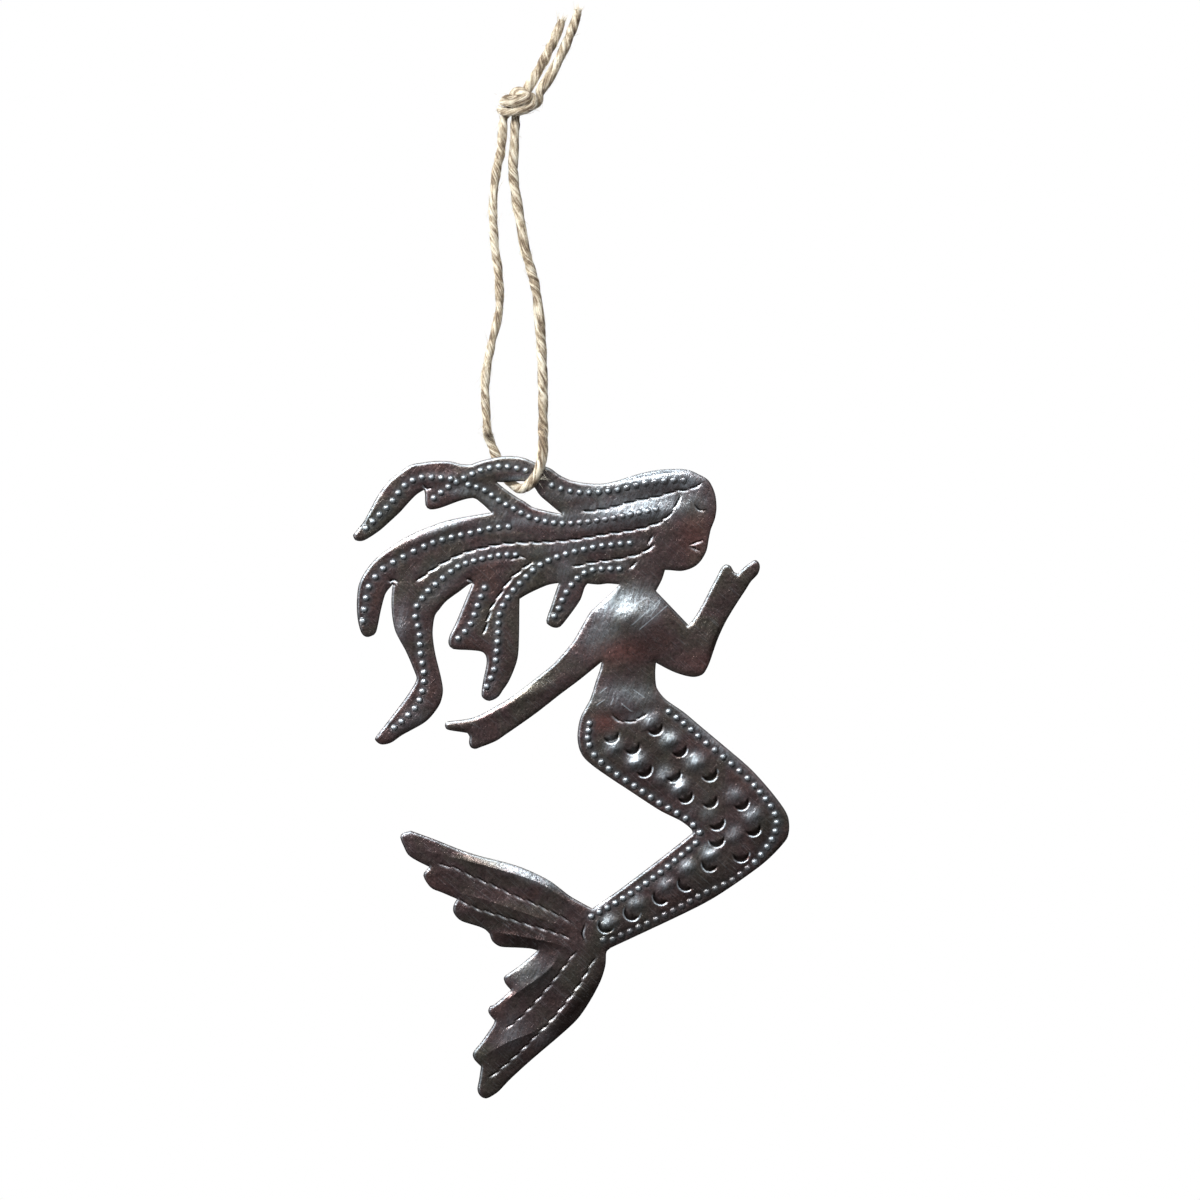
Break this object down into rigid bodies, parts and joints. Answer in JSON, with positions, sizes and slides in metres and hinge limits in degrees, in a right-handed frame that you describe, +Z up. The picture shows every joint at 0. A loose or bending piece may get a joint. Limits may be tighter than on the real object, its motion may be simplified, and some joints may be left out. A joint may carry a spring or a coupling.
{
  "type": "hanging mermaid ornament",
  "caption": "Flat cut and embossed steel mermaid ornament that hangs from a knotted loop of twine passed through a slot in its hair.",
  "frame": {"origin": "crotch of the twine loop just under the knot, where a nail or hook carries it", "axes": "+Z up along the hanging figure, the embossed front faces -Y, +X is to the right as seen from the front"},
  "size_m": [0.0873, 0.0068, 0.2188],
  "materials": {
    "lacquered_steel": "clear lacquer over dark brown steel, with bright scratches and worn edges",
    "jute_twine": "rough natural two-ply jute with loose fibres"
  },
  "bodies": {
    "hanging_loop": {"twine_front_leg": "jute_twine", "twine_rear_leg": "jute_twine", "overhand_knot": "jute_twine", "twine_front_tail": "jute_twine", "twine_rear_tail": "jute_twine"},
    "bight": {"twine_bight": "jute_twine"},
    "mermaid": {"mermaid_plate": "lacquered_steel"}
  },
  "joints": [
    {"name": "loop_fold", "type": "hinge", "parent": "hanging_loop", "child": "bight", "pos_m": [0.0022, 0, -0.0514], "axis": [1, 0, 0], "range_deg": [-115, 115]},
    {"name": "plate_rock", "type": "hinge", "parent": "bight", "child": "mermaid", "pos_m": [0.0034, 0, -0.0657], "axis": [0, 1, 0], "range_deg": [-25, 25]}
  ]
}
